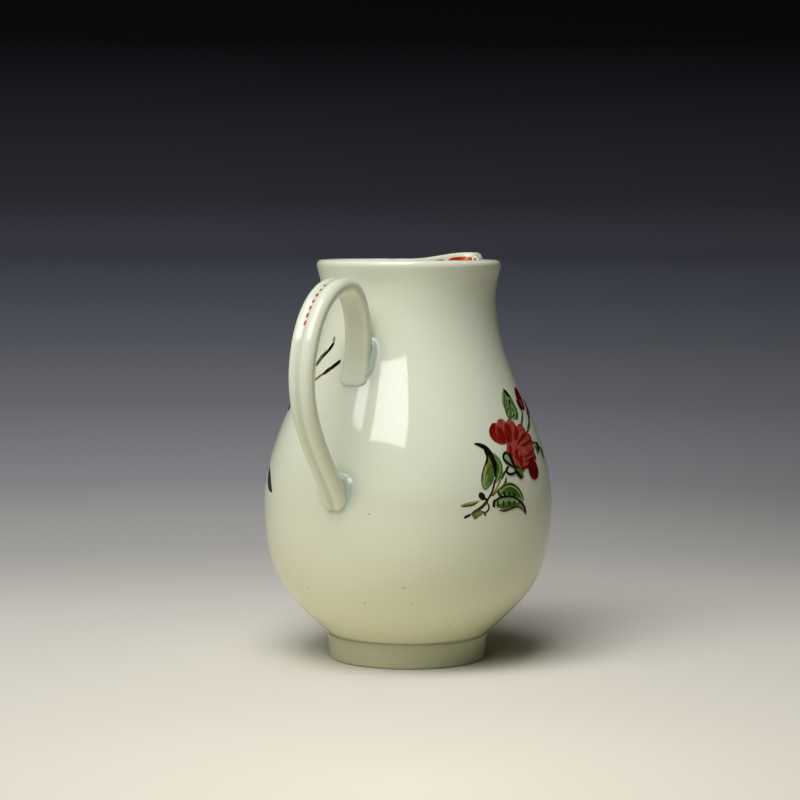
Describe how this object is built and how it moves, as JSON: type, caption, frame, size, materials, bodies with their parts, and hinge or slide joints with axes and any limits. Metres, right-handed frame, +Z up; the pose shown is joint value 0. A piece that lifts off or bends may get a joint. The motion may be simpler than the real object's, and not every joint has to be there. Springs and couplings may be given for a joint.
{
  "type": "sparrow beak jug",
  "caption": "Small pear-shaped glazed porcelain cream jug with a turned foot ring, a folded triangular pouring beak at the rim and a reeded loop handle opposite it.",
  "frame": {"origin": "on the standing surface, under the middle of the jug's overall length and width", "axes": "+Z up through the mouth, +X from the handle towards the beak, Y across the jug, which is symmetric about Y = 0"},
  "size_m": [0.0795, 0.0636, 0.0895],
  "materials": {
    "glaze": "glossy greyish white lead glaze over soft-paste porcelain",
    "pooled_glaze": "glossy glaze, pooled bluish green in the joints",
    "foot_glaze": "thin satin glaze over an olive grey foot"
  },
  "bodies": {
    "root": {"body": "glaze", "foot_ring": "foot_glaze", "sparrow_beak": "glaze", "beak_slip": "pooled_glaze", "handle": "glaze", "upper_handle_slip": "pooled_glaze", "lower_handle_slip": "pooled_glaze"}
  },
  "joints": []
}
